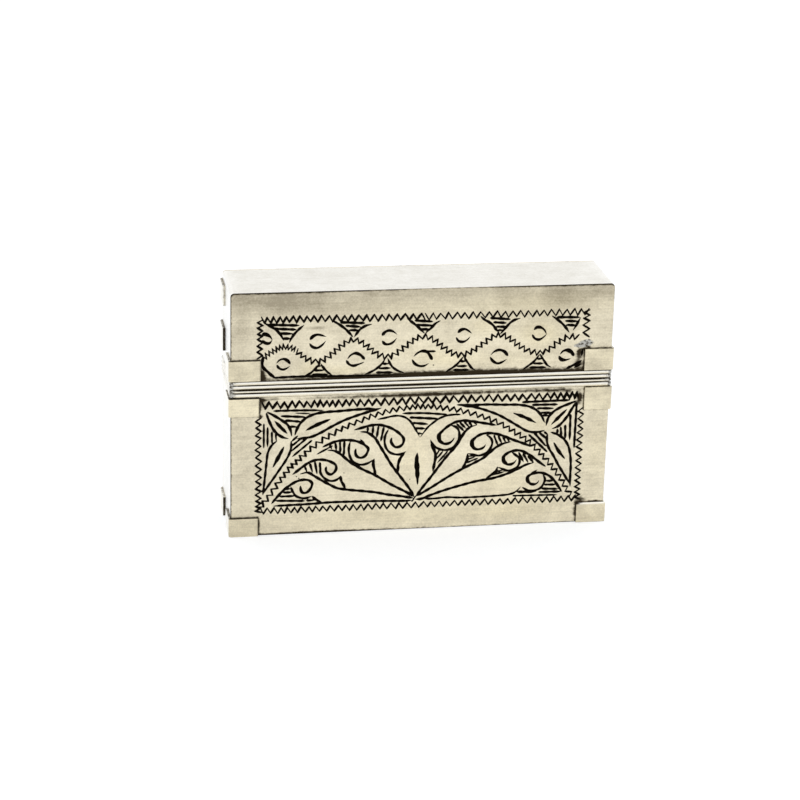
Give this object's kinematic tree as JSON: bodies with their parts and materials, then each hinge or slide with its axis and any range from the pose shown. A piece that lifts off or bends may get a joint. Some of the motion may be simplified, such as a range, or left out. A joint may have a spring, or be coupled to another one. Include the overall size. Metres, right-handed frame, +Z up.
{
  "type": "cigarette case",
  "caption": "Rectangular slip-lid case of engraved sheet metal with reeded rims and square corner clips, for cigarettes lying side by side.",
  "frame": {"origin": "middle of the underside, on which the case stands", "axes": "+X along the width to the right of someone facing the engraved front, +Y from the front to the back, +Z up"},
  "size_m": [0.093, 0.0208, 0.0611],
  "materials": {
    "sheet": "aged silver-coloured alloy, satin, with blackened engraving",
    "collar": "aged silver-coloured alloy, plain and rubbed by the lid",
    "reed": "aged silver-coloured alloy, bright on the crests",
    "clip": "aged silver-coloured alloy, satin, dark round the solder"
  },
  "bodies": {
    "base": {"base_band": "sheet", "base_front_plate": "sheet", "base_back_plate": "sheet", "slip_collar": "collar", "base_lower_reed": "reed", "base_upper_reed": "reed", "base_foot_clip_front_left": "clip", "base_foot_clip_front_right": "clip", "base_foot_clip_back_left": "clip", "base_foot_clip_back_right": "clip", "base_rim_clip_front_left": "clip", "base_rim_clip_front_right": "clip"},
    "lid": {"lid_band": "sheet", "lid_front_plate": "sheet", "lid_back_plate": "sheet", "lid_lower_reed": "reed", "lid_upper_reed": "reed", "lid_rim_clip_front_left": "clip", "lid_rim_clip_front_right": "clip", "lid_lower_clip_back_left": "clip", "lid_lower_clip_back_right": "clip", "lid_upper_clip_back_left": "clip", "lid_upper_clip_back_right": "clip"}
  },
  "joints": [
    {"name": "lid_lift", "type": "slide", "parent": "base", "child": "lid", "axis": [0, 0, 1], "range_m": [0, 0.03]}
  ]
}
